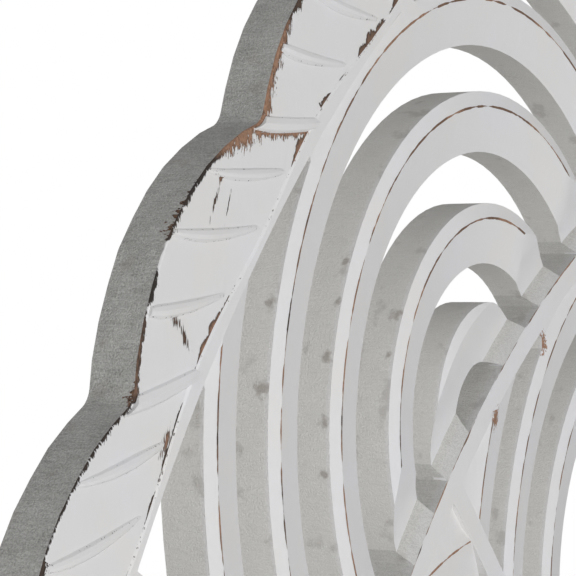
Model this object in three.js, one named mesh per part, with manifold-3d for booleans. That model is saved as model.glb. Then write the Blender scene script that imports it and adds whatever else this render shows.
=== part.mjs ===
// Mandala wall panel: one board, cut through and carved, round with a lobed rim.
// Millimetres, +Z up, front towards -Y, back on the plane y = 0.
// The origin is the middle of the back, where the panel is held to the wall.
// The solids are shaped lying down, with heights measured from the back.
import * as THREE from 'three';
import { mergeVertices } from 'three/addons/utils/BufferGeometryUtils.js';
import Module from 'manifold-3d';

// Board
const boardThickness = 16;

// Lobed rim, its width measured inwards from the lobes' crests
const lobeCount = 36;
const lobeTwist = 0.8;
const lobeCrestRadius = 600;
const lobeDepth = 13.5;
const rimWidth = 37.8;

// Cross-section of an arch strip, measured from its crest line
const stripOuterWidth = 5.1;
const stripOuterDrop = 1.5;
const stripInnerWidth = 15.5;
const stripInnerDrop = 3.6;

// Two flat rings that the arches stand on, and flat ribs between the arch groups
const outerRingRadius = 416;
const innerRingRadius = 280;
const ringWidth = 8.7;
const ribWidth = 8.7;

// Arch groups in each of the two tiers. One arch of a group just touches what lies outside
// the tier. The gaps between crest lines run inwards from it, and one arch lies outside it.
const groupCount = 9;
const archTouch = 1.5;
const outerTierAxis = 90;
const outerArchGaps = [36.4, 38.2, 34];
const outerArchOutsideGap = 34.8;
const outerCentreInset = 1;
const innerTierAxis = 75;
const innerArchGaps = [32.4];
const innerArchOutsideGap = 29.5;
const innerCentreInset = 0;

// Lower plate inside the inner ring, with petal openings round a low boss
const plateHeight = 12.4;
const petalAxis = 95;
const petalTipMargin = 22;
const petalRootMargin = 30;
const petalSpacing = 24;
const bossRadius = 62;
const bossTopRadius = 22;

// Facets, and how far one solid runs into the next
const chordHeight = 2.4;
const ringSegments = 45;
const lobeSegments = 4;
const bossSegments = 24;
const petalSegments = 8;
const overlap = 1.5;
const ribGap = 2;

const rimInnerRadius = lobeCrestRadius - rimWidth;
const petalTipRadius = innerRingRadius - petalTipMargin;
const petalRootRadius = bossRadius + petalRootMargin;

const wasm = await Module();
wasm.setup();

const radians = (degrees) => degrees * Math.PI / 180;

// A closed manifold solid from a three.js geometry
function solid(geometry) {
  const bare = geometry.clone();
  bare.deleteAttribute('normal');
  bare.deleteAttribute('uv');
  const merged = mergeVertices(bare, 1e-4);
  const position = merged.attributes.position;
  const index = merged.index.array;
  const corners = [new THREE.Vector3(), new THREE.Vector3(), new THREE.Vector3()];
  const triangles = [];
  let volume = 0;
  for (let i = 0; i < index.length; i += 3) {
    const triangle = [index[i], index[i + 1], index[i + 2]];
    if (new Set(triangle).size < 3) continue;
    triangle.forEach((vertex, j) => corners[j].fromBufferAttribute(position, vertex));
    volume += corners[0].dot(corners[1].cross(corners[2]));
    triangles.push(triangle);
  }
  if (volume < 0) triangles.forEach((triangle) => triangle.reverse());
  return new wasm.Manifold(new wasm.Mesh({
    numProp: 3,
    vertProperties: Float32Array.from(position.array),
    triVerts: Uint32Array.from(triangles.flat()),
  }));
}

// A closed profile of [radius, height] points turned about the panel's normal
function turned(profile, segments, startAngle = 0) {
  const loop = [...profile, profile[0]].map(([radius, height]) => new THREE.Vector2(radius, height));
  const geometry = new THREE.LatheGeometry(loop, segments);
  const position = geometry.attributes.position;
  for (let i = 0; i < position.count; i += 1) {
    const { x: radius, y: height } = loop[i % loop.length];
    const step = Math.floor(i / loop.length) % segments;
    const angle = radians(startAngle + step * 360 / segments);
    position.setXYZ(i, radius * Math.cos(angle), radius * Math.sin(angle), height);
  }
  return geometry;
}

// A flat outline raised from the back to a height
function raised(points, height, holes = []) {
  const shape = new THREE.Shape(points);
  shape.holes = holes.map((hole) => new THREE.Path(hole));
  return new THREE.ExtrudeGeometry(shape, { depth: height, bevelEnabled: false });
}

function polar(radius, degrees) {
  return new THREE.Vector2(radius * Math.cos(radians(degrees)), radius * Math.sin(radians(degrees)));
}

function circlePoints(radius, segments) {
  return Array.from({ length: segments }, (_, i) => polar(radius, i * 360 / segments));
}

// The lobed outline: each lobe is a circular arc from notch to notch
function lobedOutline() {
  const half = 180 / lobeCount;
  const notchRadius = lobeCrestRadius - lobeDepth;
  const notch = polar(notchRadius, half);
  const centre = (lobeCrestRadius ** 2 - notchRadius ** 2) / (2 * (lobeCrestRadius - notch.x));
  const arcRadius = lobeCrestRadius - centre;
  const arcHalf = Math.atan2(notch.y, notch.x - centre);
  const middle = new THREE.Vector2(0, 0);
  const points = [];
  for (let lobe = 0; lobe < lobeCount; lobe += 1) {
    const axis = outerTierAxis + lobeTwist + lobe * 2 * half;
    for (let i = 0; i < lobeSegments; i += 1) {
      const angle = arcHalf * (2 * i / lobeSegments - 1);
      const point = new THREE.Vector2(centre + arcRadius * Math.cos(angle), arcRadius * Math.sin(angle));
      points.push(point.rotateAround(middle, radians(axis)));
    }
  }
  return points;
}

// One arch strip as a full circle, with its facets halfway inside and outside
function stripRing(crestRadius, axis) {
  const step = 2 * Math.acos(1 - chordHeight / crestRadius);
  const segments = 4 * Math.ceil(Math.PI / 2 / step);
  const spread = (1 + 1 / Math.cos(Math.PI / segments)) / 2;
  const profile = [
    [crestRadius - stripInnerWidth, 0],
    [crestRadius - stripInnerWidth, boardThickness - stripInnerDrop],
    [crestRadius, boardThickness],
    [crestRadius + stripOuterWidth, boardThickness - stripOuterDrop],
    [crestRadius + stripOuterWidth, 0],
  ].map(([radius, height]) => [radius * spread, height]);
  return turned(profile, segments, axis);
}

// The room of one arch group: a sector between two radii, just clear of the rib lines
function sector(fromRadius, toRadius, axis) {
  const steps = ringSegments / groupCount;
  const edge = (radius) => Array.from({ length: steps + 1 }, (_, i) => {
    const half = 180 / groupCount - ribGap / radius * 180 / Math.PI;
    return polar(radius, axis + half * (2 * i / steps - 1));
  });
  return solid(raised([...edge(toRadius), ...edge(fromRadius).reverse()], 2 * boardThickness));
}

// Crest radii of the arches in a group. An arch that is too small to be open is left out.
function archRadii(centreRadius, outerEdge, gaps, outsideGap) {
  const touching = outerEdge + archTouch - stripOuterWidth - centreRadius;
  const radii = [touching + outsideGap, touching];
  gaps.forEach((gap) => radii.push(radii.at(-1) - gap));
  return radii.filter((radius) => radius > stripInnerWidth);
}

// Arches with a common centre, trimmed to the room of their group
function archGroup(centreRadius, radii, axis, fromRadius, toRadius) {
  const centre = polar(centreRadius, axis);
  return radii
    .map((radius) => solid(stripRing(radius, axis).translate(centre.x, centre.y, 0)))
    .reduce((all, strip) => all.add(strip))
    .intersect(sector(fromRadius, toRadius, axis));
}

// A straight, flat radial rib
function rib(degrees, fromRadius, toRadius) {
  const bar = new THREE.BoxGeometry(toRadius - fromRadius, ribWidth, boardThickness);
  bar.translate((fromRadius + toRadius) / 2, 0, boardThickness / 2);
  return solid(bar.rotateZ(radians(degrees)));
}

// All groups and ribs of one tier, from the ring that it stands on to the edge outside it
function tier(firstAxis, ringRadius, outerEdge, centreInset, gaps, outsideGap) {
  const centreRadius = ringRadius - centreInset;
  const radii = archRadii(centreRadius, outerEdge, gaps, outsideGap);
  const fromRadius = ringRadius + ringWidth - overlap;
  const toRadius = outerEdge + overlap;
  const pieces = [];
  for (let k = 0; k < groupCount; k += 1) {
    const axis = firstAxis + k * 360 / groupCount;
    pieces.push(archGroup(centreRadius, radii, axis, fromRadius, toRadius));
    pieces.push(rib(axis + 180 / groupCount, fromRadius, toRadius));
  }
  return pieces.reduce((all, piece) => all.add(piece));
}

// Outline of one petal opening: a half circle, then straight sides towards the middle
function petal(axis) {
  const half = 180 / groupCount;
  const sine = Math.sin(radians(half));
  const archCentre = (petalTipRadius + petalSpacing / 2) / (1 + sine);
  const archRadius = petalTipRadius - archCentre;
  const points = [];
  for (let i = 0; i <= petalSegments; i += 1) {
    const angle = (180 + 2 * half) * (i / petalSegments - 0.5);
    points.push(polar(archRadius, angle).add(new THREE.Vector2(archCentre, 0)));
  }
  const rootHalfWidth = petalRootRadius * Math.tan(radians(half)) - petalSpacing / 2 / Math.cos(radians(half));
  points.push(new THREE.Vector2(petalRootRadius, rootHalfWidth));
  points.push(new THREE.Vector2(petalRootRadius, -rootHalfWidth));
  return points.map((point) => point.rotateAround(new THREE.Vector2(0, 0), radians(axis)));
}

function flatRing(innerRadius) {
  const outerRadius = innerRadius + ringWidth;
  return solid(turned([
    [innerRadius, 0],
    [innerRadius, boardThickness],
    [outerRadius, boardThickness],
    [outerRadius, 0],
  ], ringSegments));
}

const rim = solid(raised(lobedOutline(), boardThickness, [circlePoints(rimInnerRadius, ringSegments)]));

const outerTier = tier(
  outerTierAxis, outerRingRadius, rimInnerRadius,
  outerCentreInset, outerArchGaps, outerArchOutsideGap,
);

const innerTier = tier(
  innerTierAxis, innerRingRadius, outerRingRadius,
  innerCentreInset, innerArchGaps, innerArchOutsideGap,
);

const plate = solid(raised(
  circlePoints(innerRingRadius + overlap, ringSegments),
  plateHeight,
  Array.from({ length: groupCount }, (_, k) => petal(petalAxis + k * 360 / groupCount)),
));

const boss = solid(turned([
  [0, 0],
  [0, boardThickness],
  [bossTopRadius, boardThickness],
  [bossRadius, plateHeight],
  [bossRadius, 0],
], bossSegments));

const panel = [
  outerTier, innerTier, flatRing(outerRingRadius), flatRing(innerRingRadius), plate, boss,
].reduce((all, next) => all.add(next), rim);

// Back to a three.js mesh, stood upright with its front towards -Y
function toMesh(manifold, name, material) {
  const { numProp, vertProperties, triVerts } = manifold.getMesh();
  const position = new Float32Array(3 * vertProperties.length / numProp);
  for (let i = 0; i < position.length / 3; i += 1) {
    position[3 * i] = vertProperties[numProp * i];
    position[3 * i + 1] = -vertProperties[numProp * i + 2];
    position[3 * i + 2] = vertProperties[numProp * i + 1];
  }
  const geometry = new THREE.BufferGeometry();
  geometry.setAttribute('position', new THREE.BufferAttribute(position, 3));
  geometry.setIndex(Array.from(triVerts));
  geometry.computeVertexNormals();
  const mesh = new THREE.Mesh(geometry, material);
  mesh.name = name;
  return mesh;
}

const paintedBoard = new THREE.MeshStandardMaterial({ color: '#d8d6d3', roughness: 0.6, metalness: 0 });

const group = new THREE.Group();
group.add(toMesh(panel, 'mandala_panel', paintedBoard));

export default group;
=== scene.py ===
import math
import random

import bpy
from mathutils import Matrix, Vector


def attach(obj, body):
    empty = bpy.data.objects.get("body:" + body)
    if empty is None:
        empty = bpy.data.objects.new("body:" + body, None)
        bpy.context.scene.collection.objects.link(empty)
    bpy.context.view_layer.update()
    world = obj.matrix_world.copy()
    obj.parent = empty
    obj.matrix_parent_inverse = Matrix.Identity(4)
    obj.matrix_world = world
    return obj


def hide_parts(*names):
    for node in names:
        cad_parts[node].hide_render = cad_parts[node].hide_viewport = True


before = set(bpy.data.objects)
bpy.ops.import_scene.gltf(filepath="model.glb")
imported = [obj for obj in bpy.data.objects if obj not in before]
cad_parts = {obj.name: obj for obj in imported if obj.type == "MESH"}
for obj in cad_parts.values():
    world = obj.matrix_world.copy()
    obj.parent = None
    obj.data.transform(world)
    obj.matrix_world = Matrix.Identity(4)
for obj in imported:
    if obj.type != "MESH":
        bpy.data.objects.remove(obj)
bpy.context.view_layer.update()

# Sizes are in millimetres, angles in degrees seen from the front, counter-clockwise from +X.
# Heights are measured from the panel's back, which lies on y = 0, towards -Y.
MM = 0.001

BOARD = 16.0

# Lobed rim
LOBES = 36
LOBE_AXIS = 90.8
LOBE_CREST = 600.0
LOBE_NOTCH = 586.5
LOBE_STEPS = 10
NOTCH_FILLET = 3.0
NOTCH_FILLET_STEPS = 4
RIM_INNER = 562.2
RIM_WOBBLE = 0.25

# Carved band of the rim, which starts with a small step down at a crease, and falls to its own
# floor from there. The crease swings in and out once a lobe, and is furthest in a little past
# the notch.
CREASE = 565.8
CREASE_SWING = 1.5
CREASE_IN_AT = 2.5
CREASE_WIDTH = 0.7
CREASE_FLOOR = 15.4
BAND_FLOOR = 15.1
BAND_SLOPE_WIDTH = 8.0
# Rounding of the band's outer edge, as steps of (inwards, upwards)
EDGE_ROUNDING = ((0.2, 0.4), (0.4, 0.2))

# Cross-section of an arch strip, measured from its crest line
STRIP_OUTER = 5.1
STRIP_OUTER_DROP = 1.5
STRIP_INNER = 15.5
STRIP_INNER_DROP = 3.6

# Arch groups and the flat rings they stand on
GROUPS = 9
RING_WIDTH = 8.7
RIB_WIDTH = 8.7
OUTER_RING = 416.0
INNER_RING = 280.0
OUTER_AXIS = 90.0
OUTER_CENTRE = 415.0
OUTER_ARCHES = (35.0, 69.0, 107.2, 143.6, 178.4)
INNER_AXIS = 75.0
INNER_CENTRE = 280.0
INNER_ARCHES = (100.0, 132.4, 161.9)

# Hollow cut into the arches' feet round the outer ring: (distance from the ring, height)
HOLLOW_BEVEL = 5.0
HOLLOW_FLOOR = 11.0
HOLLOW = ((-0.5, 11.0), (5.0, 11.0), (9.0, 11.4), (14.0, 12.5), (19.0, 13.9), (24.0, 15.2), (30.0, 16.3))

# Bevel where an arch's foot runs up to the edge outside its tier
FOOT_BEVEL = 3.6
FOOT_INSET = 0.05

# Narrow ends of the openings that the cutter couldn't reach, between an arch and the edge
# outside it: (arch, first and last angle from the group's axis)
OUTER_FILLS = ((143.6, 2.2, 4.5), (178.4, 12.9, 13.6))
INNER_FILLS = ((132.4, 3.0, 8.3), (161.9, 16.2, 19.7))
FILL_HEIGHT = 14.5
FILL_OVERLAP = 0.6
FILL_ROUNDNESS = 0.3
FILL_STEPS = 6

# Ridges of the rim: where each starts at the crease, from the notch of its lobe, and its
# thickness from the crease to the edge, as a share of the radius. The first one starts under
# the smooth band and runs out over the notch, where it is cut off flush.
RIDGE_STARTS = (-2.1, -5.3, -8.0, -10.15)
RIDGE_SHAPES = (
    (1.1, 1.2, 1.3, 1.4, 1.5, 1.55, 1.55, 1.5, 1.4),
    (0.3, 0.5, 0.7, 0.85, 1.0, 1.1, 1.15, 1.1, 0.75),
    (0.3, 0.55, 0.75, 0.9, 1.0, 1.05, 0.95, 0.8, 0.5),
    (0.35, 0.65, 0.85, 1.0, 1.0, 0.95, 0.8, 0.65, 0.35),
)
RIDGE_OVERHANG = 3.0
RIDGE_ROOT = -3.0
RIDGE_ROOT_DROP = 0.9
RIDGE_SLANT = 0.135
RIDGE_BEND = 0.00105
RIDGE_RADIUS = 2.0
RIDGE_TOP = 16.7
RIDGE_EDGE_MARGIN = 0.5
RIDGE_SEARCH_STEP = 0.25

# Lower plate, its petal openings and the boss
PLATE = 12.4
PETAL_AXIS = 95.0
PETAL_TIP = 258.0
PETAL_ROOT = 92.0
PETAL_SPACING = 24.0
BOSS = 62.0
BOSS_TOP = 22.0

# How far one form runs into the next, how far a group stays clear of its ribs' lines, how far
# a circle's straight pieces may leave it, and how many of them a sector's or petal's arc has
OVERLAP = 1.5
RIB_GAP = 2.0
CHORD_HEIGHT = 0.07
ARC_STEPS = 24

# Angles from which a face is split, and below which an edge is shaded smooth
SPLIT_ANGLE = 5
SMOOTH_ANGLE = 20


def polar(radius, degrees):
    return Vector((radius * math.cos(math.radians(degrees)), radius * math.sin(math.radians(degrees))))


def place(point, height):
    """A point of the panel in metres, from its place in the picture plane and its height"""
    return Vector((point[0] * MM, -height * MM, point[1] * MM))


def deselect():
    for item in bpy.context.selected_objects:
        item.select_set(False)


def steps_for(radius):
    """How many straight pieces keep a circle round"""
    return 4 * math.ceil(math.pi / math.acos(1 - CHORD_HEIGHT / radius) / 4)


def outline(name, points, height=0.0, fill="NGON"):
    """A flat outline, shaped from a circle"""
    deselect()
    bpy.ops.mesh.primitive_circle_add(vertices=len(points), fill_type=fill)
    piece = bpy.context.object
    piece.name = name
    for vertex, point in zip(piece.data.vertices, points):
        vertex.co = place(point, height)
    return piece


def close_up(merge=1e-6):
    """Merges doubles and turns the faces outwards, in edit mode with all selected"""
    bpy.ops.mesh.select_all(action="SELECT")
    bpy.ops.mesh.remove_doubles(threshold=merge)
    bpy.ops.mesh.normals_make_consistent(inside=False)


def raised(name, points, height, bottom=-1.0):
    """An outline raised from behind the back to a height"""
    piece = outline(name, points, bottom)
    bpy.ops.object.mode_set(mode="EDIT")
    bpy.ops.mesh.select_all(action="SELECT")
    bpy.ops.mesh.extrude_region_move(TRANSFORM_OT_translate={"value": (0, -(height - bottom) * MM, 0)})
    close_up()
    bpy.ops.object.mode_set(mode="OBJECT")
    return piece


def turned(name, profile, steps, centre=(0.0, 0.0)):
    """A closed profile of (radius, height) points spun about an axis square to the panel"""
    centre = Vector(centre)
    piece = outline(name, [(0, 0)] * len(profile), fill="NOTHING")
    for vertex, (radius, height) in zip(piece.data.vertices, profile):
        vertex.co = place(centre + Vector((radius, 0)), height)
    bpy.ops.object.mode_set(mode="EDIT")
    bpy.ops.mesh.select_all(action="SELECT")
    bpy.ops.mesh.spin(steps=steps, angle=2 * math.pi, center=place(centre, 0), axis=(0, 1, 0))
    close_up()
    bpy.ops.object.mode_set(mode="OBJECT")
    return piece


def combine(piece, other, operation="UNION"):
    deselect()
    modifier = piece.modifiers.new(operation.lower(), "BOOLEAN")
    modifier.operation = operation
    modifier.solver = "MANIFOLD"
    modifier.object = other
    bpy.context.view_layer.objects.active = piece
    piece.select_set(True)
    bpy.ops.object.modifier_apply(modifier=modifier.name)
    bpy.data.objects.remove(other)
    return piece


def join(pieces):
    deselect()
    for piece in pieces:
        piece.select_set(True)
    bpy.context.view_layer.objects.active = pieces[0]
    bpy.ops.object.join()
    return pieces[0]


def turned_copies(piece, count):
    """The piece repeated round the panel, as one object"""
    copies = [piece]
    for k in range(1, count):
        copy = piece.copy()
        copy.data = piece.data.copy()
        copy.data.transform(Matrix.Rotation(-2 * math.pi * k / count, 4, "Y"))
        bpy.context.collection.objects.link(copy)
        copies.append(copy)
    return join(copies)


def arch_strip(name, radius, centre):
    inner = radius - STRIP_INNER
    outer = radius + STRIP_OUTER
    profile = [
        (inner, 0),
        (inner, BOARD - STRIP_INNER_DROP),
        (radius, BOARD),
        (outer, BOARD - STRIP_OUTER_DROP),
        (outer, 0),
    ]
    return turned(name, profile, steps_for(outer), centre)


def flat_strip(name, radius, centre):
    """The plan of an arch strip at the board's full thickness"""
    inner = radius - STRIP_INNER + FOOT_INSET
    outer = radius + STRIP_OUTER - FOOT_INSET
    profile = [(inner, 0), (inner, BOARD), (outer, BOARD), (outer, 0)]
    return turned(name, profile, steps_for(outer + FOOT_INSET), centre)


def group_room(axis, from_radius, to_radius):
    """The sector that one arch group fills, just clear of the lines of its ribs"""
    points = []
    for radius, way in ((from_radius, 1), (to_radius, -1)):
        half = 180 / GROUPS - math.degrees(RIB_GAP / radius)
        points += [polar(radius, axis + way * half * (2 * i / ARC_STEPS - 1)) for i in range(ARC_STEPS + 1)]
    return raised("group_room", points, 2 * BOARD)


def arch_group(axis, centre_radius, radii, from_radius, to_radius, strip_shape):
    """Strips with a common centre, trimmed to the room of their group"""
    centre = polar(centre_radius, axis)
    strips = [strip_shape(f"arch_{i}", radius, centre) for i, radius in enumerate(radii)]
    group = strips[0]
    for strip in strips[1:]:
        combine(group, strip)
    return combine(group, group_room(axis, from_radius, to_radius), "INTERSECT")


def rib(degrees, from_radius, to_radius):
    """A straight, flat rib that points at the panel's middle"""
    side = polar(RIB_WIDTH / 2, degrees + 90)
    ends = polar(from_radius, degrees), polar(to_radius, degrees)
    points = [ends[0] - side, ends[1] - side, ends[1] + side, ends[0] + side]
    return raised("rib", points, BOARD, bottom=0.0)


def hollow():
    """The cutter for the hollow round the outer ring"""
    wall = OUTER_RING + RING_WIDTH
    profile = [(wall + reach, height) for reach, height in HOLLOW]
    profile += [(profile[-1][0], BOARD + 1), (profile[0][0], BOARD + 1)]
    return turned("hollow", profile, steps_for(wall))


def bevel_ring(edge, way, width, floor):
    """A ring with a sloping front, which leans on an edge and runs down away from it"""
    back = edge - way * OVERLAP
    toe = edge + way * width
    profile = [(back, 0), (back, BOARD), (edge, BOARD), (toe, floor), (toe, 0)]
    return turned("bevel_ring", profile, steps_for(edge))


def arch_side(centre_radius, arch, degrees):
    """How far from the middle an arch's outer edge lies, at an angle from its group's axis"""
    across = centre_radius * math.sin(math.radians(degrees))
    along = centre_radius * math.cos(math.radians(degrees))
    return along + math.sqrt((arch + STRIP_OUTER) ** 2 - across ** 2)


def corner_fill(axis, centre_radius, edge, arch, first, last, side):
    """Fills the narrow end of an opening up to a height, with the round end of the cutter"""
    angles = [first + (last - first) * i / FILL_STEPS for i in range(FILL_STEPS + 1)]
    near = [(arch_side(centre_radius, arch, angle) - FILL_OVERLAP, angle) for angle in angles]
    far = [(edge + FILL_OVERLAP, angle) for angle in reversed(angles)]
    gap = edge - near[-1][0]
    hollowed = FILL_ROUNDNESS * gap if last < 180 / GROUPS - 1 else 0.0
    middle = [(edge - gap / 2, last - math.degrees(hollowed / edge))]
    points = [polar(radius, axis + side * angle) for radius, angle in near + middle + far]
    return raised("corner_fill", points, FILL_HEIGHT, bottom=0.0)


def flat_ring(radius):
    outer = radius + RING_WIDTH
    profile = [(radius, 0), (radius, BOARD), (outer, BOARD), (outer, 0)]
    return turned("flat_ring", profile, steps_for(outer))


def lobe_arc():
    """Centre and radius of the arc of one lobe, and half the angle that it turns"""
    notch = polar(LOBE_NOTCH, 180 / LOBES)
    centre = (LOBE_CREST ** 2 - LOBE_NOTCH ** 2) / (2 * (LOBE_CREST - notch.x))
    return centre, LOBE_CREST - centre, math.degrees(math.atan2(notch.y, notch.x - centre))


def lobed_prism():
    """The lobed outline, cut a little unevenly as by hand, with its front edge rounded off"""
    centre, radius, half = lobe_arc()
    uneven = random.Random(7)
    points = []
    for lobe in range(LOBES):
        turn = Matrix.Rotation(math.radians(LOBE_AXIS + lobe * 360 / LOBES), 2)
        for i in range(LOBE_STEPS):
            wobble = uneven.uniform(-RIM_WOBBLE, RIM_WOBBLE) if i else 0
            on_arc = polar(radius + wobble, half * (2 * i / LOBE_STEPS - 1))
            points.append(turn @ (Vector((centre, 0)) + on_arc))
    piece = raised("lobed_prism", points, BAND_FLOOR - sum(up for _, up in EDGE_ROUNDING))
    bpy.ops.object.mode_set(mode="EDIT")
    bpy.ops.mesh.select_mode(type="EDGE")
    bpy.ops.mesh.select_all(action="DESELECT")
    bpy.ops.object.mode_set(mode="OBJECT")
    for edge in piece.data.edges:
        ends = [piece.data.vertices[i].co for i in edge.vertices]
        upright = abs(ends[0].y - ends[1].y) > BOARD / 2 * MM
        edge.select = upright and math.hypot(ends[0].x, ends[0].z) < (LOBE_NOTCH + 0.5) * MM
    bpy.ops.object.mode_set(mode="EDIT")
    bpy.ops.mesh.bevel(offset=NOTCH_FILLET * MM, segments=NOTCH_FILLET_STEPS, affect="EDGES")
    bpy.ops.mesh.select_mode(type="FACE")
    bpy.ops.mesh.select_all(action="DESELECT")
    bpy.ops.object.mode_set(mode="OBJECT")
    for face in piece.data.polygons:
        face.select = face.normal.y < -0.9
    bpy.ops.object.mode_set(mode="EDIT")
    for inwards, upwards in EDGE_ROUNDING:
        bpy.ops.mesh.inset(thickness=inwards * MM)
        bpy.ops.transform.translate(value=(0, -upwards * MM, 0))
    bpy.ops.mesh.extrude_region_move(TRANSFORM_OT_translate={"value": (0, -BOARD * MM, 0)})
    close_up()
    bpy.ops.object.mode_set(mode="OBJECT")
    return piece


def crease_at(degrees):
    """How far from the middle the crease lies"""
    furthest_in = LOBE_AXIS + 180 / LOBES + CREASE_IN_AT
    return CREASE - CREASE_SWING * math.cos(math.radians(LOBES * (degrees - furthest_in)))


def rim():
    """The rim: a smooth band, the crease and the carved band with its ridges, cut to the lobes"""
    beyond = LOBE_CREST + 5
    profile = [
        (RIM_INNER, 0),
        (RIM_INNER, BOARD),
        (CREASE, BOARD),
        (CREASE + CREASE_WIDTH, CREASE_FLOOR),
        (CREASE + BAND_SLOPE_WIDTH, BAND_FLOOR),
        (beyond, BAND_FLOOR),
        (beyond, 0),
    ]
    piece = turned("rim", profile, LOBE_STEPS * LOBES)
    for vertex in piece.data.vertices:
        distance = math.hypot(vertex.co.x, vertex.co.z) / MM
        if RIM_INNER + 1 < distance < CREASE + CREASE_WIDTH + 1:
            swing = crease_at(math.degrees(math.atan2(vertex.co.z, vertex.co.x))) - CREASE
            vertex.co.x *= 1 + swing / distance
            vertex.co.z *= 1 + swing / distance
    for number in range(len(RIDGE_STARTS)):
        combine(piece, turned_copies(ridge(number), LOBES))
    return combine(piece, lobed_prism(), "INTERSECT")


def ridge_point(number, depth):
    """Where a ridge runs, as a distance from the middle and an angle"""
    start = LOBE_AXIS + 180 / LOBES + RIDGE_STARTS[number]
    return crease_at(start) + depth, start + RIDGE_SLANT * depth - RIDGE_BEND * depth ** 2


def ridge_length(number):
    """How far a ridge runs from the crease before it comes to the lobe's edge"""
    if number == 0:
        return LOBE_NOTCH + RIDGE_OVERHANG - ridge_point(0, 0)[0]
    centre, radius, _ = lobe_arc()
    depth = 0.0
    while (polar(*ridge_point(number, depth)) - polar(centre, LOBE_AXIS)).length < radius - RIDGE_EDGE_MARGIN:
        depth += RIDGE_SEARCH_STEP
    return depth


def ridge(number):
    """One ridge, a slanted half-round"""
    shape = RIDGE_SHAPES[number]
    root = RIDGE_ROOT if number == 0 else 0.0
    length = ridge_length(number) - root
    deselect()
    bpy.ops.curve.primitive_bezier_curve_add()
    piece = bpy.context.object
    curve = piece.data
    curve.splines.clear()
    spline = curve.splines.new("POLY")
    steps = len(shape) - 1
    spline.points.add(steps)
    for i, point in enumerate(spline.points):
        height = RIDGE_TOP - RIDGE_RADIUS * max(1.0, shape[i]) - (0 if i else RIDGE_ROOT_DROP)
        point.co = (*place(polar(*ridge_point(number, root + length * i / steps)), height), 1)
        point.radius = shape[i]
    curve.dimensions = "3D"
    curve.bevel_depth = RIDGE_RADIUS * MM
    curve.bevel_resolution = 3
    curve.use_fill_caps = True
    bpy.ops.object.convert(target="MESH")
    piece = bpy.context.object
    piece.name = f"ridge_{number}"
    bpy.ops.object.mode_set(mode="EDIT")
    close_up()
    bpy.ops.object.mode_set(mode="OBJECT")
    return piece


def petal(axis):
    """Outline of one petal opening: a half circle, then straight sides towards the middle"""
    half = 180 / GROUPS
    arch_centre = (PETAL_TIP + PETAL_SPACING / 2) / (1 + math.sin(math.radians(half)))
    radius = PETAL_TIP - arch_centre
    turns = [(180 + 2 * half) * (i / ARC_STEPS - 0.5) for i in range(ARC_STEPS + 1)]
    points = [polar(radius, turn) + Vector((arch_centre, 0)) for turn in turns]
    root = PETAL_ROOT * math.tan(math.radians(half)) - PETAL_SPACING / 2 / math.cos(math.radians(half))
    points += [Vector((PETAL_ROOT, root)), Vector((PETAL_ROOT, -root))]
    turn = Matrix.Rotation(math.radians(axis), 2)
    return raised("petal", [turn @ point for point in points], 2 * BOARD)


def lower_plate():
    """The plate inside the inner ring, with its petal openings and the boss"""
    outer = INNER_RING + OVERLAP
    plate = turned("lower_plate", [(0, 0), (0, PLATE), (outer, PLATE), (outer, 0)], steps_for(outer))
    combine(plate, turned_copies(petal(PETAL_AXIS), GROUPS), "DIFFERENCE")
    boss = turned("boss", [(0, 0), (0, BOARD), (BOSS_TOP, BOARD), (BOSS, PLATE), (BOSS, 0)], steps_for(BOSS))
    return combine(plate, boss)


def tier(axis, centre, radii, fills, ring_radius, edge, has_hollow):
    """All arch groups and ribs of a tier, and the flat ring that they stand on"""
    ring_edge = ring_radius + RING_WIDTH
    from_radius = ring_edge - OVERLAP
    to_radius = edge + OVERLAP

    def arches_and_ribs(strip_shape):
        groups = turned_copies(arch_group(axis, centre, radii, from_radius, to_radius, strip_shape), GROUPS)
        ribs = turned_copies(rib(axis + 180 / GROUPS, from_radius, to_radius), GROUPS)
        return combine(groups, ribs)

    piece = arches_and_ribs(arch_strip)
    bevels = bevel_ring(edge, -1, FOOT_BEVEL, BOARD - FOOT_BEVEL)
    if has_hollow:
        combine(piece, hollow(), "DIFFERENCE")
        combine(bevels, bevel_ring(ring_edge, 1, HOLLOW_BEVEL, HOLLOW_FLOOR))
    combine(piece, combine(bevels, arches_and_ribs(flat_strip), "INTERSECT"))
    for arch, first, last in fills:
        for side in (1, -1):
            fill = corner_fill(axis, centre, edge, arch, first, last, side)
            combine(piece, turned_copies(fill, GROUPS))
    return combine(piece, flat_ring(ring_radius))


def panel():
    """The whole panel, from the rim inwards"""
    piece = rim()
    combine(piece, tier(OUTER_AXIS, OUTER_CENTRE, OUTER_ARCHES, OUTER_FILLS, OUTER_RING, RIM_INNER, True))
    combine(piece, tier(INNER_AXIS, INNER_CENTRE, INNER_ARCHES, INNER_FILLS, INNER_RING, OUTER_RING, False))
    combine(piece, lower_plate())
    piece.name = "carved_panel"
    deselect()
    piece.select_set(True)
    bpy.context.view_layer.objects.active = piece
    bpy.ops.object.mode_set(mode="EDIT")
    bpy.ops.mesh.select_all(action="SELECT")
    bpy.ops.mesh.vert_connect_nonplanar(angle_limit=math.radians(SPLIT_ANGLE))
    bpy.ops.object.mode_set(mode="OBJECT")
    bpy.ops.object.shade_smooth_by_angle(angle=math.radians(SMOOTH_ANGLE))
    return piece


carved_panel = panel()
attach(carved_panel, "root")
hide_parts("mandala_panel")


def linear(hex_colour):
    """An sRGB hex colour as linear RGBA"""
    parts = [int(hex_colour[i:i + 2], 16) / 255 for i in (1, 3, 5)]
    return [c / 12.92 if c <= 0.04045 else ((c + 0.055) / 1.055) ** 2.4 for c in parts] + [1.0]


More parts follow.
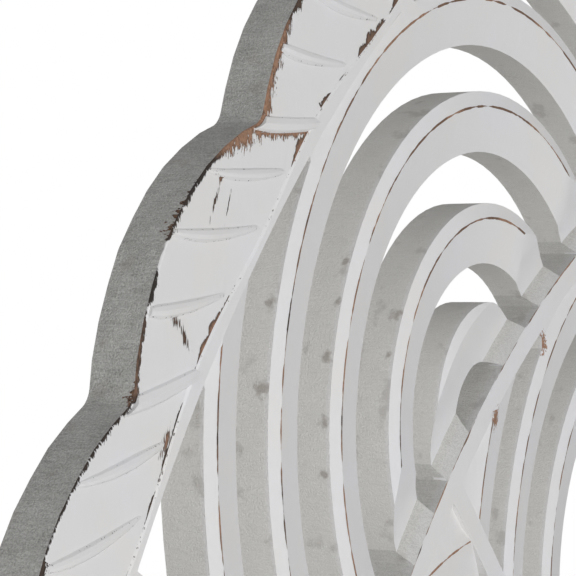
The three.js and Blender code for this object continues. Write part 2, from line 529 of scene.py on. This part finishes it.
def node(tree, kind, inputs, output=0, **settings):
    """Adds a node, fills or links its inputs, and returns one of its outputs"""
    added = tree.nodes.new(kind)
    for name, value in settings.items():
        setattr(added, name, value)
    pairs = inputs.items() if isinstance(inputs, dict) else enumerate(inputs)
    for key, value in pairs:
        if isinstance(value, bpy.types.NodeSocket):
            tree.links.new(value, added.inputs[key])
        else:
            added.inputs[key].default_value = value
    return added.outputs[output]


MATH = "ShaderNodeMath"
VECTOR = "ShaderNodeVectorMath"
NOISE = "ShaderNodeTexNoise"
RANGE = "ShaderNodeMapRange"
MIX = "ShaderNodeMix"
# What makes a mix node mix colours
COLOURS = {"output": 2, "data_type": "RGBA"}

# Colours, as they look in even light
WHITE_PAINT = "#E7E7EA"
WHITE_PAINT_WARM = "#E7E6E5"
WALL_PAINT = "#E4E3E1"
WALL_PAINT_THIN = "#D2D1CD"
# The rim wall's colours, also used as painted shade in the hollow round the outer ring
RIM_WALL_PAINT_AND_HOLLOW_SHADE = "#D4D4D1"
RIM_WALL_PAINT_THIN_AND_HOLLOW_SHADE = "#878683"
STAIN = "#8A7F76"
WORN_BROWN = "#86654F"
WORN_BROWN_PALE = "#AD8871"
# The dark of the wear, which on the crease is also painted shade
DARK_WEAR_AND_CREASE_SHADE = "#2E2926"
RAW_FIBREBOARD = "#A98B66"
RAW_FIBREBOARD_DARK = "#8F7250"

# Wear along the rim's outer edge: (degrees, how far it reaches in from the edge in mm, how
# brown it is). Where it is not brown, the dark primer shows. The same on the crease, where the
# line is partly sanded wear and partly painted shade of the crease's small step.
EDGE_WEAR = (
    (132.2, 0.6, 0.2), (133.2, 2.6, 0.9), (134.9, 3.0, 1.0), (136.2, 4.2, 1.0), (137.2, 4.2, 1.0),
    (137.9, 2.6, 0.9), (138.4, 0.9, 0.1), (139.6, 1.0, 0.0), (140.4, 1.2, 0.1), (141.4, 0.8, 0.2),
    (141.6, 0.0, 0.0), (142.3, 0.0, 0.0), (142.9, 1.9, 0.0), (143.3, 1.3, 0.0), (143.5, 0.2, 0.3),
    (143.9, 1.0, 0.3), (145.5, 1.6, 0.5), (145.9, 0.2, 0.2), (146.2, 0.9, 0.1), (147.2, 1.1, 0.1),
    (148.9, 0.8, 0.1), (150.5, 0.4, 0.1),
)
CREASE_WEAR_AND_SHADE = (
    (132.5, 0.0, 0.5), (133.3, 0.7, 0.5), (134.0, 0.9, 0.6), (134.5, 2.3, 0.8), (135.5, 1.1, 0.8),
    (136.2, 0.2, 0.2), (139.4, 0.3, 0.1), (140.0, 0.9, 0.8), (141.4, 1.2, 0.9), (142.6, 2.1, 1.0),
    (143.3, 0.7, 0.7), (143.7, 0.6, 0.1), (145.6, 1.0, 0.2), (146.8, 1.3, 0.4), (149.0, 0.6, 0.2),
)
# The same down the wall below the rim's edge
WALL_WEAR = (
    (132.5, 0.0, 0.5), (138.0, 0.0, 0.0), (138.7, 0.6, 0.2), (139.5, 1.0, 0.2), (140.4, 2.0, 0.8),
    (141.2, 3.4, 0.9), (141.6, 0.4, 0.5), (141.9, 0.0, 0.0), (144.8, 0.0, 1.0), (145.3, 1.0, 1.0),
    (145.7, 2.6, 1.0), (145.95, 2.4, 1.0), (146.1, 0.0, 1.0), (147.0, 0.25, 0.1), (150.0, 0.0, 0.1),
)
# Where the lists start and how many degrees they cover, the most that wear may reach in from
# a line, in the photograph and out of it, and the dark edge round a brown patch. Wear keeps
# to the band beside its line, and below the ridges' tops.
WEAR_START = 132.0
WEAR_SPAN = 20.0
WEAR_DEPTH = 6.0
UNSEEN_WEAR = 3.5
DARK_FRINGE = 1.4
BAND_REACH = 20.0
RIDGE_WHITE_FROM = 15.5

# Sanded lines of the crests and the outer ring
CREST_LINE_DEPTH = 0.12
RING_LINE_WIDTH = 0.7
RIB_CLEARANCE = 0.6

# Film of paint, chips in it, stains on it, and the share of painted shade in the hollow
PAINT_THICKNESS = 0.12
FLECK_STRENGTH = 0.75
STAIN_STRENGTH = 0.6
HOLLOW_PAINTED_SHADE = 0.45

# Worn spots of the carved band: (x, z, half length, half width, all in mm, direction of its
# length in degrees, how brown it is)
RIM_SPOTS = (
    (-446.1, 384.2, 6.5, 0.7, 66.0, 0.3),
    (-443.0, 391.3, 2.2, 1.2, 60.0, 0.9),
    (-438.7, 384.6, 6.0, 0.3, 72.0, 0.1),
    (-465.5, 350.8, 3.2, 1.7, -30.0, 0.6),
    (-461.0, 346.5, 4.5, 1.5, -60.0, 0.3),
    (-470.4, 318.5, 6.0, 1.6, 62.0, 1.0),
)
# How many mm a degree is long at the rim
DEGREE = 10.0

# The first ridge in the photograph is worn bare all along its lower side: between which
# angles, how far from the ridge, and the angle where the ridge starts
WORN_RIDGE = (133.3, 137.4)
WORN_RIDGE_REACH = 2.8
WORN_RIDGE_LINE = 133.8

# Worn corners at the outer ring, and stains on the cut walls: (x, z, height, size) in mm
WORN_CORNERS = (
    (-224.8, 344.0, 14.0, 5.5),
    (-264.2, 318.1, 14.5, 5.0),
)
WALL_STAINS = (
    (-371.9, 357.3, 13.3, 1.6), (-376.8, 340.2, 12.1, 2.4), (-379.0, 320.5, 12.7, 2.2),
    (-378.2, 304.6, 12.1, 1.8), (-331.7, 353.5, 12.2, 2.6), (-337.3, 340.4, 12.4, 1.5),
    (-414.8, 331.6, 12.2, 3.0), (-410.4, 356.3, 12.1, 2.8), (-366.4, 369.6, 12.7, 1.6),
)


def new_material(name):
    material = bpy.data.materials.new(name)
    material.use_nodes = True
    tree = material.node_tree
    return material, tree, tree.nodes["Principled BSDF"]


def where(tree):
    """The place on the panel: its point in mm, and its distance, angle and height"""
    metres = node(tree, "ShaderNodeTexCoord", [], output=3)
    point = node(tree, VECTOR, [metres, (1 / MM, 1 / MM, 1 / MM)], operation="MULTIPLY")
    flat = node(tree, VECTOR, [point, (1.0, 0.0, 1.0)], operation="MULTIPLY")
    distance = node(tree, VECTOR, [flat], output=1, operation="LENGTH")
    split = node(tree, "ShaderNodeSeparateXYZ", [point]).node.outputs
    turn = node(tree, MATH, [split[2], split[0]], operation="ARCTAN2")
    degrees = node(tree, MATH, [turn, 180 / math.pi], operation="MULTIPLY")
    height = node(tree, MATH, [split[1], -1.0], operation="MULTIPLY")
    return point, distance, degrees, height


def grain(tree, point, pitch, detail=2.0, low=0.0, high=1.0):
    """Noise with its features a given number of mm apart in x, y and z"""
    stretched = node(tree, VECTOR, [point, tuple(1 / size for size in pitch)], operation="MULTIPLY")
    value = node(tree, NOISE, {"Vector": stretched, "Scale": 1.0, "Detail": detail})
    return node(tree, RANGE, [value, 0.3, 0.7, low, high])


def edge_mask(tree, distance, reach, softness):
    """1 where the distance is within the reach, and 0 beyond it"""
    left = node(tree, MATH, [reach, distance], operation="SUBTRACT")
    return node(tree, MATH, [left, softness], operation="DIVIDE", use_clamp=True)


def between(tree, value, low, high):
    """1 where a value lies between two limits"""
    middle = (low + high) / 2
    return node(tree, MATH, [value, middle, (high - low) / 2], operation="COMPARE")


def largest(tree, values):
    result = values[0]
    for value in values[1:]:
        result = node(tree, MATH, [result, value], operation="MAXIMUM")
    return result


def along_rim(tree, degrees, wear, column, full):
    """A value of the wear lists, as it changes round the rim. No value is above the full one."""
    share = node(tree, RANGE, [degrees, WEAR_START, WEAR_START + WEAR_SPAN, 0.0, 1.0])
    curve = node(tree, "ShaderNodeValToRGB", [share]).node
    stops = curve.color_ramp.elements
    for angle, *values in wear:
        stop = stops.new((angle - WEAR_START) / WEAR_SPAN)
        stop.color = [values[column] / full] * 3 + [1.0]
    stops.remove(stops[-1])
    stops.remove(stops[0])
    return node(tree, MATH, [curve.outputs[0], full], operation="MULTIPLY")


def outer_edge_distance(tree, distance, degrees):
    """How far a point lies inside the lobe's arc, by the law of cosines"""
    centre, radius, _ = lobe_arc()
    step = 180 / LOBES
    folded = node(tree, MATH, [degrees, LOBE_AXIS + step, LOBE_AXIS - step], operation="WRAP")
    turned_by = node(tree, MATH, [folded, LOBE_AXIS], operation="SUBTRACT")
    cosine = node(tree, MATH, [node(tree, MATH, [turned_by], operation="RADIANS")], operation="COSINE")
    across = node(tree, MATH, [cosine, -2 * centre, distance], operation="MULTIPLY_ADD")
    square = node(tree, MATH, [across, distance, centre ** 2], operation="MULTIPLY_ADD")
    from_centre = node(tree, MATH, [square], operation="SQRT")
    return node(tree, MATH, [radius, from_centre], operation="SUBTRACT")


def crease_distance(tree, distance, degrees):
    """How far a point lies outside the crease"""
    furthest_in = LOBE_AXIS + 180 / LOBES + CREASE_IN_AT
    phase = node(tree, MATH, [degrees, LOBES, -LOBES * furthest_in], operation="MULTIPLY_ADD")
    cosine = node(tree, MATH, [node(tree, MATH, [phase], operation="RADIANS")], operation="COSINE")
    crease = node(tree, MATH, [cosine, -CREASE_SWING, CREASE], operation="MULTIPLY_ADD")
    return node(tree, MATH, [distance, crease], operation="SUBTRACT")


def crest_lines(tree, distance, degrees, height, along):
    """Sanded lines on the arch strips, which are highest along their crests. The flat ribs and
    rings are left out."""
    in_outer_tier = node(tree, MATH, [distance, OUTER_RING + RING_WIDTH], operation="GREATER_THAN")
    turn = OUTER_AXIS - INNER_AXIS
    rib_axis = node(tree, MATH, [in_outer_tier, turn, INNER_AXIS + 180 / GROUPS], operation="MULTIPLY_ADD")
    to_rib = node(tree, MATH, [degrees, rib_axis], operation="SUBTRACT")
    to_rib = node(tree, MATH, [to_rib, 180 / GROUPS, -180 / GROUPS], operation="WRAP")
    to_rib = node(tree, MATH, [to_rib], operation="ABSOLUTE")
    to_rib = node(tree, MATH, [to_rib, distance], operation="MULTIPLY")
    clear = math.degrees(RIB_WIDTH / 2 + RIB_CLEARANCE)
    off_rib = node(tree, MATH, [to_rib, clear], operation="GREATER_THAN")
    outer_strips = between(tree, distance, OUTER_RING + RING_WIDTH + HOLLOW_BEVEL + 1, RIM_INNER - 1)
    inner_strips = between(tree, distance, INNER_RING + RING_WIDTH + 1, OUTER_RING - 1)
    strips = node(tree, MATH, [outer_strips, inner_strips], operation="MAXIMUM")
    strips = node(tree, MATH, [strips, off_rib], operation="MULTIPLY")
    below_crest = node(tree, MATH, [BOARD, height], operation="SUBTRACT")
    reach = node(tree, RANGE, [along, 0.1, 0.6, 0.0, CREST_LINE_DEPTH])
    line = edge_mask(tree, below_crest, reach, 0.02)
    return node(tree, MATH, [line, strips], operation="MULTIPLY")


def ring_line(tree, distance, along):
    """The worn outer edge of the outer ring"""
    off_line = node(tree, MATH, [distance, OUTER_RING + RING_WIDTH - 0.3], operation="SUBTRACT")
    off_line = node(tree, MATH, [off_line], operation="ABSOLUTE")
    reach = node(tree, RANGE, [along, 0.2, 1.0, 0.0, RING_LINE_WIDTH])
    return edge_mask(tree, off_line, reach, 0.2)


def line_wear_and_shade(tree, off_line, degrees, wear, raggedness, elsewhere):
    """Wear beside a line of the rim, and how brown it is. At the crease the mark is partly painted shade."""
    reach = along_rim(tree, degrees, wear, 0, WEAR_DEPTH)
    reach = node(tree, MATH, [reach, elsewhere], operation="ADD")
    reach = node(tree, MATH, [reach, raggedness], operation="MULTIPLY")
    mask = edge_mask(tree, off_line, reach, 0.25)
    outside = between(tree, off_line, -0.6, BAND_REACH)
    mask = node(tree, MATH, [mask, outside], operation="MULTIPLY")
    brown = edge_mask(tree, off_line, reach, DARK_FRINGE)
    brownness = along_rim(tree, degrees, wear, 1, 1.0)
    return mask, node(tree, MATH, [brown, brownness], operation="MULTIPLY")


def worn_ridge(tree, distance, degrees, ragged):
    """The bare lower side of the photograph's first ridge, and how brown it is"""
    start = crease_at(LOBE_AXIS + 180 / LOBES + RIDGE_STARTS[0])
    depth = node(tree, MATH, [distance, start], operation="SUBTRACT")
    slant = node(tree, MATH, [depth, -RIDGE_BEND, RIDGE_SLANT], operation="MULTIPLY_ADD")
    line = node(tree, MATH, [depth, slant, WORN_RIDGE_LINE], operation="MULTIPLY_ADD")
    below = node(tree, MATH, [degrees, line], operation="SUBTRACT")
    below = node(tree, MATH, [below, DEGREE, -RIDGE_RADIUS], operation="MULTIPLY_ADD")
    reach = node(tree, MATH, [ragged, WORN_RIDGE_REACH], operation="MULTIPLY")
    beside = between(tree, below, 0.5, BAND_REACH)
    beside = node(tree, MATH, [beside, between(tree, degrees, *WORN_RIDGE)], operation="MULTIPLY")
    mask = edge_mask(tree, below, reach, 0.4)
    brown = edge_mask(tree, below, reach, DARK_FRINGE)
    return (
        node(tree, MATH, [mask, beside], operation="MULTIPLY"),
        node(tree, MATH, [brown, beside], operation="MULTIPLY"),
    )


def worn_spot(tree, point, hairs, spot):
    """A worn spot of the carved band, and how brown it is"""
    x, z, half_length, half_width, direction, brownness = spot
    way = polar(1.0, direction)
    lengthwise = (way.x / half_length, 0.0, way.y / half_length)
    crosswise = (-way.y / half_width, 0.0, way.x / half_width)
    off = node(tree, VECTOR, [point, (x, 0.0, z)], operation="SUBTRACT")
    along = node(tree, VECTOR, [off, lengthwise], output=1, operation="DOT_PRODUCT")
    across = node(tree, VECTOR, [off, crosswise], output=1, operation="DOT_PRODUCT")
    off = node(tree, "ShaderNodeCombineXYZ", [along, across, 0.0])
    off = node(tree, VECTOR, [off], output=1, operation="LENGTH")
    brown = edge_mask(tree, off, hairs, 1.0)
    return edge_mask(tree, off, hairs, 0.3), node(tree, MATH, [brown, brownness], operation="MULTIPLY")


def rim_wear_and_crease_shade(tree, point, distance, degrees, patchy, along):
    """Worn lines, ridge and spots of the rim: the largest of their masks, and how brown each is. The line on
    the crease is partly painted shade.
    """
    # Streaks from the sanding
    streaks = grain(tree, point, (0.5, 5.0, 2.4), detail=4.0)
    broad = node(tree, MATH, [grain(tree, point, (2.6, 5.0, 5.0)), 0.4], operation="MULTIPLY")
    streaks = node(tree, MATH, [streaks, 0.6, broad], operation="MULTIPLY_ADD")
    ragged = node(tree, RANGE, [streaks, 0.15, 0.85, 0.1, 1.7])
    streaks = node(tree, MATH, [streaks, 0.4], operation="MULTIPLY")
    uneven = node(tree, MATH, [along, 0.8, streaks], operation="MULTIPLY_ADD")
    uneven = node(tree, RANGE, [uneven, 0.25, 0.95, 0.25, 1.5])

    # Where the photograph doesn't reach, a broad pattern takes the place of the wear lists
    seen = between(tree, degrees, WEAR_START + 1, WEAR_START + WEAR_SPAN - 1)
    unseen = node(tree, MATH, [1.0, seen], operation="SUBTRACT")
    elsewhere = node(tree, RANGE, [patchy, 0.35, 1.0, 0.0, UNSEEN_WEAR])
    elsewhere = node(tree, MATH, [elsewhere, unseen], operation="MULTIPLY")

    edge = outer_edge_distance(tree, distance, degrees)
    crease = crease_distance(tree, distance, degrees)
    hairs = grain(tree, point, (0.6, 5.0, 4.0), detail=3.0, low=0.1, high=1.5)
    worn = [
        line_wear_and_shade(tree, edge, degrees, EDGE_WEAR, ragged, elsewhere),
        # The crease's line: partly sanded wear, partly painted shade of its small step
        line_wear_and_shade(tree, crease, degrees, CREASE_WEAR_AND_SHADE, uneven, elsewhere),
        worn_ridge(tree, distance, degrees, ragged),
    ]
    worn += [worn_spot(tree, point, hairs, spot) for spot in RIM_SPOTS]
    return largest(tree, [mask for mask, _ in worn]), [brown for _, brown in worn]


def bare_corner(tree, point, fine, corner):
    """A corner at the outer ring where the paint is gone"""
    x, z, at_height, size = corner
    off = node(tree, VECTOR, [point, (x, -at_height, z)], output=1, operation="DISTANCE")
    reach = node(tree, RANGE, [fine, 0.0, 1.0, 0.4 * size, 1.1 * size])
    return edge_mask(tree, off, reach, 0.8)


def flecks(tree, height, in_rim, patchy, fine):
    """Small dark spots where paint chipped off, most of them at the ridges' feet"""
    foot = between(tree, height, CREASE_FLOOR + 0.05, CREASE_FLOOR + 0.45)
    foot = node(tree, MATH, [foot, in_rim], operation="MULTIPLY")
    foot = node(tree, MATH, [foot, patchy], operation="MULTIPLY")
    level = node(tree, RANGE, [foot, 0.0, 1.0, 1.0, 0.8])
    chipped = node(tree, MATH, [fine, level], operation="GREATER_THAN")
    return node(tree, MATH, [chipped, FLECK_STRENGTH], operation="MULTIPLY")


def painted_face():
    """White paint over dark primer on fibreboard, sanded through at edges and crests. The eye
    sees a satin white, thin brown and black lines along the crests, and dry, streaky patches
    of bare board at the rim. The dark line along the rim's crease is partly painted shade of its
    small step."""
    material, tree, shader = new_material("distressed_white_painted_fibreboard")
    point, distance, degrees, height = where(tree)
    fine = grain(tree, point, (0.7, 0.7, 1.1))
    patchy = grain(tree, point, (26.0, 26.0, 26.0))
    along = grain(tree, point, (9.0, 9.0, 9.0), detail=3.0)

    crest = crest_lines(tree, distance, degrees, height, along)
    ring = ring_line(tree, distance, along)
    lines = node(tree, MATH, [crest, ring], operation="MAXIMUM")
    brown_line = node(tree, RANGE, [patchy, 0.45, 0.7, 0.0, 1.0])
    brown_line = node(tree, MATH, [lines, brown_line], operation="MULTIPLY")

    # The ridges stay white, and so does the smooth band
    on_rim, rim_browns = rim_wear_and_crease_shade(tree, point, distance, degrees, patchy, along)
    off_crease = crease_distance(tree, distance, degrees)
    in_rim = node(tree, MATH, [off_crease, -0.5], operation="GREATER_THAN")
    low = node(tree, MATH, [height, RIDGE_WHITE_FROM], operation="LESS_THAN")
    open_to_wear = node(tree, MATH, [in_rim, low], operation="MULTIPLY")
    on_rim = node(tree, MATH, [on_rim, open_to_wear], operation="MULTIPLY")

    corners = [bare_corner(tree, point, fine, corner) for corner in WORN_CORNERS]
    chipped = flecks(tree, height, in_rim, patchy, fine)
    worn = largest(tree, [lines, on_rim, chipped, *corners])
    brown = largest(tree, [brown_line, *rim_browns, *corners])

    white = node(tree, MIX, {0: patchy, 6: linear(WHITE_PAINT), 7: linear(WHITE_PAINT_WARM)}, **COLOURS)
    bare = node(tree, MIX, {0: fine, 6: linear(WORN_BROWN), 7: linear(WORN_BROWN_PALE)}, **COLOURS)
    under = node(tree, MIX, {0: brown, 6: linear(DARK_WEAR_AND_CREASE_SHADE), 7: bare}, **COLOURS)
    colour = node(tree, MIX, {0: worn, 6: white, 7: under}, **COLOURS)
    tree.links.new(colour, shader.inputs["Base Color"])
    tree.links.new(node(tree, RANGE, [worn, 0.0, 1.0, 0.42, 0.85]), shader.inputs["Roughness"])

    # Paint film: a faint brushed unevenness, and the worn spots lie lower
    brushed = node(tree, MATH, [grain(tree, point, (3.0, 3.0, 9.0), detail=3.0), 0.05], operation="MULTIPLY")
    film = node(tree, MATH, [worn, -PAINT_THICKNESS, brushed], operation="MULTIPLY_ADD")
    bump = node(tree, "ShaderNodeBump", {"Height": film, "Distance": MM, "Strength": 0.8})
    tree.links.new(bump, shader.inputs["Normal"])
    return material


def wall_stains(tree, point):
    """Brown stains on the cut walls: those in the photograph, and a few more by chance"""
    soft = grain(tree, point, (2.2, 2.2, 2.2), detail=3.0)
    stains = []
    for x, z, at_height, size in WALL_STAINS:
        off = node(tree, VECTOR, [point, (x, -at_height, z)], output=1, operation="DISTANCE")
        reach = node(tree, RANGE, [soft, 0.0, 1.0, 0.5 * size, 1.5 * size])
        stains.append(edge_mask(tree, off, reach, 0.8 * size))
    stains.append(grain(tree, point, (8.0, 8.0, 8.0), detail=3.0, low=-1.6, high=0.45))
    return node(tree, MATH, [largest(tree, stains), STAIN_STRENGTH], operation="MULTIPLY")


def painted_wall():
    """Cut edge of the fibreboard, painted thinly, thinnest at the rim. In the hollow round the outer
    ring it takes some of the rim's darker paint as painted shade, and near the top of the arches'
    outer walls it is lighter, partly face paint over the edge and partly painted highlight. The paint
    sinks in, so the eye sees a dull grey with the board's fibres and the cutter's marks, and some
    brown stains."""
    material, tree, shader = new_material("thinly_painted_cut_fibreboard")
    point, distance, degrees, height = where(tree)
    # Fibres are 0.1 mm thick, and are drawn four times coarser to be seen
    fibres = grain(tree, point, (0.45, 0.55, 0.45))
    cutter_marks = grain(tree, point, (0.7, 5.0, 0.7))
    clouds = grain(tree, point, (9.0, 9.0, 9.0), detail=3.0)
    marks = node(tree, MATH, [cutter_marks, 0.25], operation="MULTIPLY")
    mottled = node(tree, MATH, [fibres, 0.55, marks], operation="MULTIPLY_ADD")
    mottled = node(tree, MATH, [clouds, 0.2, mottled], operation="MULTIPLY_ADD")
    thick, thin = linear(WALL_PAINT), linear(WALL_PAINT_THIN)
    inside = node(tree, MIX, {0: mottled, 6: thick, 7: thin}, **COLOURS)
    # The rim wall's paint, which also serves as painted shade in the hollow
    thick, thin = linear(RIM_WALL_PAINT_AND_HOLLOW_SHADE), linear(RIM_WALL_PAINT_THIN_AND_HOLLOW_SHADE)
    outside = node(tree, MIX, {0: mottled, 6: thick, 7: thin}, **COLOURS)

    ring_edge = OUTER_RING + RING_WIDTH
    near_rim = node(tree, MATH, [distance, LOBE_NOTCH - 4], operation="GREATER_THAN")
    # Painted shade: in the hollow round the outer ring's edge, walls and bevel take some of the rim wall's
    # darker paint
    hollow_shade = between(tree, distance, ring_edge - 1, ring_edge + HOLLOW_BEVEL + 0.5)
    hollow_shade = node(tree, MATH, [hollow_shade, HOLLOW_PAINTED_SHADE], operation="MULTIPLY")
    rim_thinness_and_hollow_shade = node(tree, MATH, [near_rim, hollow_shade], operation="MAXIMUM")
    # Paint from the face reaches over the edges of the arches, and the lighter band near their top is also a
    # painted highlight of the rounded edge
    face_paint_and_edge_highlight = node(tree, RANGE, [height, 12.6, 14.5, 0.0, 0.5])
    inside = node(tree, MIX, {0: face_paint_and_edge_highlight, 6: inside, 7: linear(WHITE_PAINT)}, **COLOURS)
    paint = node(tree, MIX, {0: rim_thinness_and_hollow_shade, 6: inside, 7: outside}, **COLOURS)
    stained = wall_stains(tree, point)
    paint = node(tree, MIX, {0: stained, 6: paint, 7: linear(STAIN)}, **COLOURS)

    # The rim's edge wear runs over the corner and a little way down the wall
    down = node(tree, MATH, [BAND_FLOOR, height], operation="SUBTRACT")
    ragged = grain(tree, point, (0.9, 2.5, 0.9), detail=3.0, low=-0.4, high=1.6)
    reach = along_rim(tree, degrees, WALL_WEAR, 0, WEAR_DEPTH)
    reach = node(tree, MATH, [reach, ragged], operation="MULTIPLY")
    worn = node(tree, MATH, [edge_mask(tree, down, reach, 0.3), near_rim], operation="MULTIPLY")
    brown = node(tree, MATH, [along_rim(tree, degrees, WALL_WEAR, 1, 1.0), fibres], operation="MULTIPLY")
    under = node(tree, MIX, {0: brown, 6: linear(DARK_WEAR_AND_CREASE_SHADE), 7: linear(WORN_BROWN)}, **COLOURS)
    colour = node(tree, MIX, {0: worn, 6: paint, 7: under}, **COLOURS)
    tree.links.new(colour, shader.inputs["Base Color"])
    shader.inputs["Roughness"].default_value = 0.8

    relief = node(tree, MATH, [mottled, 0.25], operation="MULTIPLY")
    bump = node(tree, "ShaderNodeBump", {"Height": relief, "Distance": MM, "Strength": 0.9})
    tree.links.new(bump, shader.inputs["Normal"])
    return material


def raw_back():
    """Unpainted, machine-sanded fibreboard: an even brown, with fine darker fibres"""
    material, tree, shader = new_material("raw_sanded_fibreboard")
    point = where(tree)[0]
    # Fibres are 0.1 mm thick, and are drawn nine times coarser to be seen
    fibres = grain(tree, point, (0.9, 0.9, 0.9), detail=3.0)
    clouds = grain(tree, point, (60.0, 60.0, 60.0))
    fibrous = node(tree, MATH, [fibres, 0.5], operation="MULTIPLY")
    share = node(tree, MATH, [clouds, 0.4, fibrous], operation="MULTIPLY_ADD")
    pale, dark = linear(RAW_FIBREBOARD), linear(RAW_FIBREBOARD_DARK)
    colour = node(tree, MIX, {0: share, 6: pale, 7: dark}, **COLOURS)
    tree.links.new(colour, shader.inputs["Base Color"])
    shader.inputs["Roughness"].default_value = 0.85
    relief = node(tree, MATH, [fibres, 0.1], operation="MULTIPLY")
    bump = node(tree, "ShaderNodeBump", {"Height": relief, "Distance": MM, "Strength": 0.6})
    tree.links.new(bump, shader.inputs["Normal"])
    return material


# Which surface each face has. The bevel of the hollow, at 45 degrees, takes the wall's surface,
# so that it gets the wall's painted shade there, and small steps above a height are painted as
# the face is.
FACE, WALL, BACK = range(3)
STEPS_FROM = 13.0

carved_panel.data.materials.clear()
for surface in (painted_face(), painted_wall(), raw_back()):
    carved_panel.data.materials.append(surface)
for face in carved_panel.data.polygons:
    outwards = math.hypot(face.center.x, face.center.z) / MM - OUTER_RING - RING_WIDTH
    slopes = -0.8 < face.normal.y < -0.6
    # Painted shade: the hollow's sloping bevel gets the wall's darker paint
    if 0 < outwards < HOLLOW_BEVEL and slopes:
        face.material_index = WALL
    elif face.normal.y < -0.35 or face.center.y < -STEPS_FROM * MM:
        face.material_index = FACE
    elif face.normal.y > 0.5 and face.center.y > -MM:
        face.material_index = BACK
    else:
        face.material_index = WALL


# Camera, at the photograph's viewing angle
CAMERA_AT = (-1013.4, -371.8, 352.4)
CAMERA_TARGET = (-407.0, -16.0, 360.9)
CAMERA_UP = (-0.01396, 0.0, 0.9999)
LENS = 150
SENSOR = 36

bpy.ops.object.camera_add(location=Vector(CAMERA_AT) * MM)
camera = bpy.context.object
forward = (Vector(CAMERA_TARGET) - Vector(CAMERA_AT)).normalized()
right = forward.cross(Vector(CAMERA_UP)).normalized()
up = right.cross(forward)
camera.rotation_euler = Matrix((right, up, -forward)).transposed().to_euler()
camera.data.lens = LENS
camera.data.sensor_width = SENSOR
camera.data.clip_start = 0.05
bpy.context.scene.camera = camera

# Pale floor, under the panel as it hangs, in metres
FLOOR_SIZE = 12
FLOOR_HEIGHT = -0.9

bpy.ops.mesh.primitive_plane_add(size=FLOOR_SIZE, location=(0, 0, FLOOR_HEIGHT))
floor = bpy.context.object
floor.name = "floor"
paper, _, paper_shader = new_material("matt_white_studio_paper")
paper_shader.inputs["Base Color"].default_value = linear("#E9E8E6")
paper_shader.inputs["Roughness"].default_value = 0.9
floor.data.materials.append(paper)


def softbox(name, location, target, size, power):
    """A square lamp turned to a target: places and size in metres, power in watts"""
    bpy.ops.object.light_add(type="AREA", location=location)
    lamp = bpy.context.object
    lamp.name = name
    lamp.data.shape = "SQUARE"
    lamp.data.size = size
    lamp.data.energy = power
    lamp.rotation_euler = (Vector(target) - Vector(location)).to_track_quat("-Z", "Y").to_euler()


softbox("front_left_light", (-2.8, -3.4, 0.1), (-0.35, 0, 0.35), 2.6, 119)
softbox("back_right_light", (2.8, 3.0, 0.3), (0, 0, -0.2), 2.2, 42)

# White surroundings, which fill the shadows with an even, soft light
FILL_LIGHT = 0.29

world = bpy.context.scene.world or bpy.data.worlds.new("studio")
bpy.context.scene.world = world
world.use_nodes = True
nodes = world.node_tree.nodes
links = world.node_tree.links
nodes.clear()
output = nodes.new("ShaderNodeOutputWorld")
mix = nodes.new("ShaderNodeMixShader")
seen = nodes.new("ShaderNodeBackground")
fill = nodes.new("ShaderNodeBackground")
rays = nodes.new("ShaderNodeLightPath")
seen.inputs["Color"].default_value = (1, 1, 1, 1)
fill.inputs["Color"].default_value = (1, 1, 1, 1)
fill.inputs["Strength"].default_value = FILL_LIGHT
links.new(rays.outputs["Is Camera Ray"], mix.inputs[0])
links.new(fill.outputs[0], mix.inputs[1])
links.new(seen.outputs[0], mix.inputs[2])
links.new(mix.outputs[0], output.inputs[0])
bpy.context.scene.view_settings.view_transform = "Standard"
